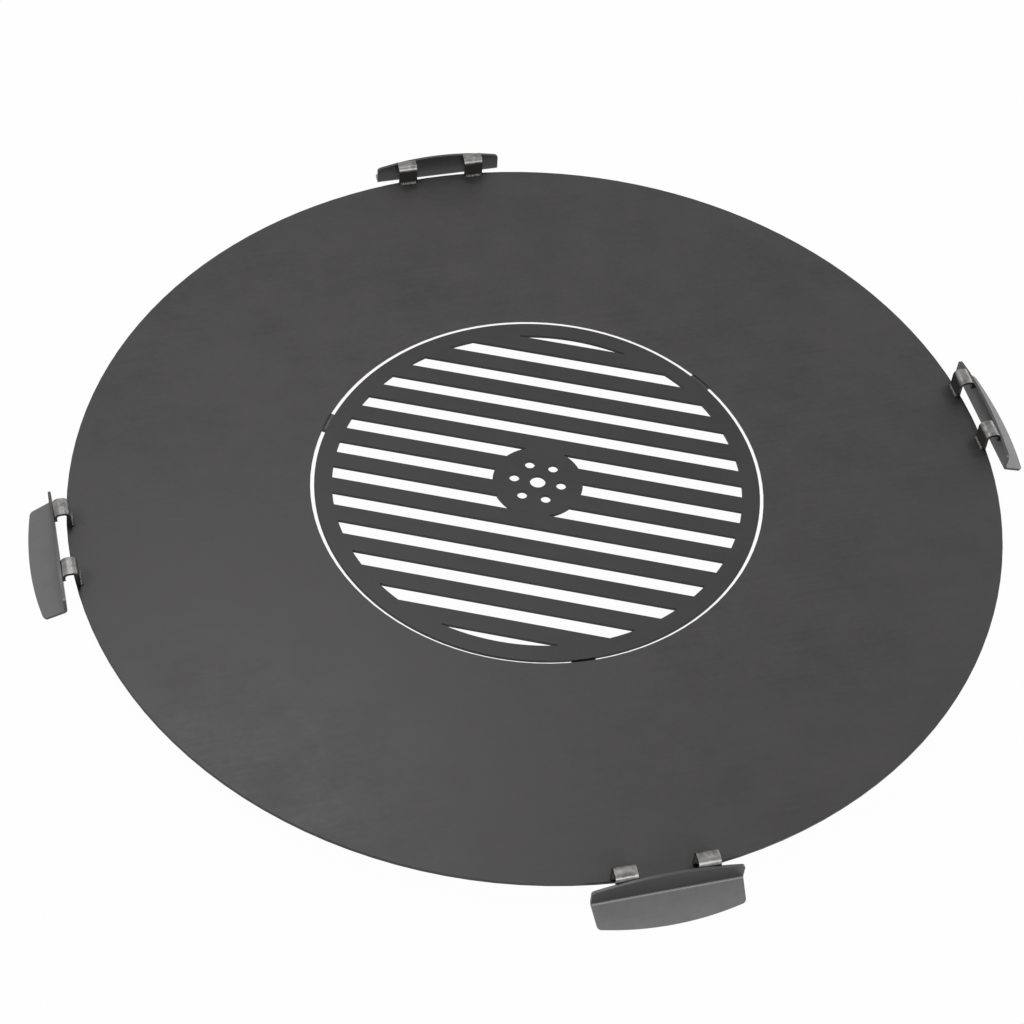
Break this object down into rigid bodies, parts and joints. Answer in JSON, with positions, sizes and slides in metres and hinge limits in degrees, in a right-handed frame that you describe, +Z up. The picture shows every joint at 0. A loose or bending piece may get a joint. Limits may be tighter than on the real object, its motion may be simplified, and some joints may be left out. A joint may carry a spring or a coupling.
{
  "type": "fire bowl griddle plate with grate",
  "caption": "Round steel griddle plate for a fire bowl, with a loose slotted centre grate resting on lugs and bent-sheet handles carried on U-shaped straps.",
  "frame": {"origin": "centre of the plate, at the level that the lips of the four handles stand on", "axes": "+Z up out of the cooking surface, +X and +Y each out through the middle of a handle"},
  "size_m": [0.8892, 0.8892, 0.0379],
  "materials": {
    "plate_steel": "blackened mill-finish sheet steel, satin",
    "grate_steel": "blackened mill-finish sheet steel, satin",
    "lug_steel": "blackened flat bar, satin",
    "grip_steel": "bent sheet steel, satin",
    "strap_steel": "bright bent strip",
    "weld_metal": "heat-darkened weld bead"
  },
  "bodies": {
    "plate": {"griddle_plate": "plate_steel", "grate_lug_1": "lug_steel", "grate_lug_2": "lug_steel", "grate_lug_3": "lug_steel", "lug_weld_1": "weld_metal", "lug_weld_2": "weld_metal", "lug_weld_3": "weld_metal", "grip_right": "grip_steel", "grip_back": "grip_steel", "grip_left": "grip_steel", "grip_front": "grip_steel", "strap_right_a": "strap_steel", "strap_right_b": "strap_steel", "strap_back_a": "strap_steel", "strap_back_b": "strap_steel", "strap_left_a": "strap_steel", "strap_left_b": "strap_steel", "strap_front_a": "strap_steel", "strap_front_b": "strap_steel", "strap_weld_right_a": "weld_metal", "strap_weld_right_b": "weld_metal", "strap_weld_back_a": "weld_metal", "strap_weld_back_b": "weld_metal", "strap_weld_left_a": "weld_metal", "strap_weld_left_b": "weld_metal", "strap_weld_front_a": "weld_metal", "strap_weld_front_b": "weld_metal", "grip_weld_right_a": "weld_metal", "grip_weld_right_b": "weld_metal", "grip_weld_back_a": "weld_metal", "grip_weld_back_b": "weld_metal", "grip_weld_left_a": "weld_metal", "grip_weld_left_b": "weld_metal", "grip_weld_front_a": "weld_metal", "grip_weld_front_b": "weld_metal"},
    "grate": {"cooking_grate": "grate_steel"}
  },
  "joints": [
    {"name": "grate_lift", "type": "slide", "parent": "plate", "child": "grate", "axis": [0, 0, 1], "range_m": [0, 0.12]}
  ]
}
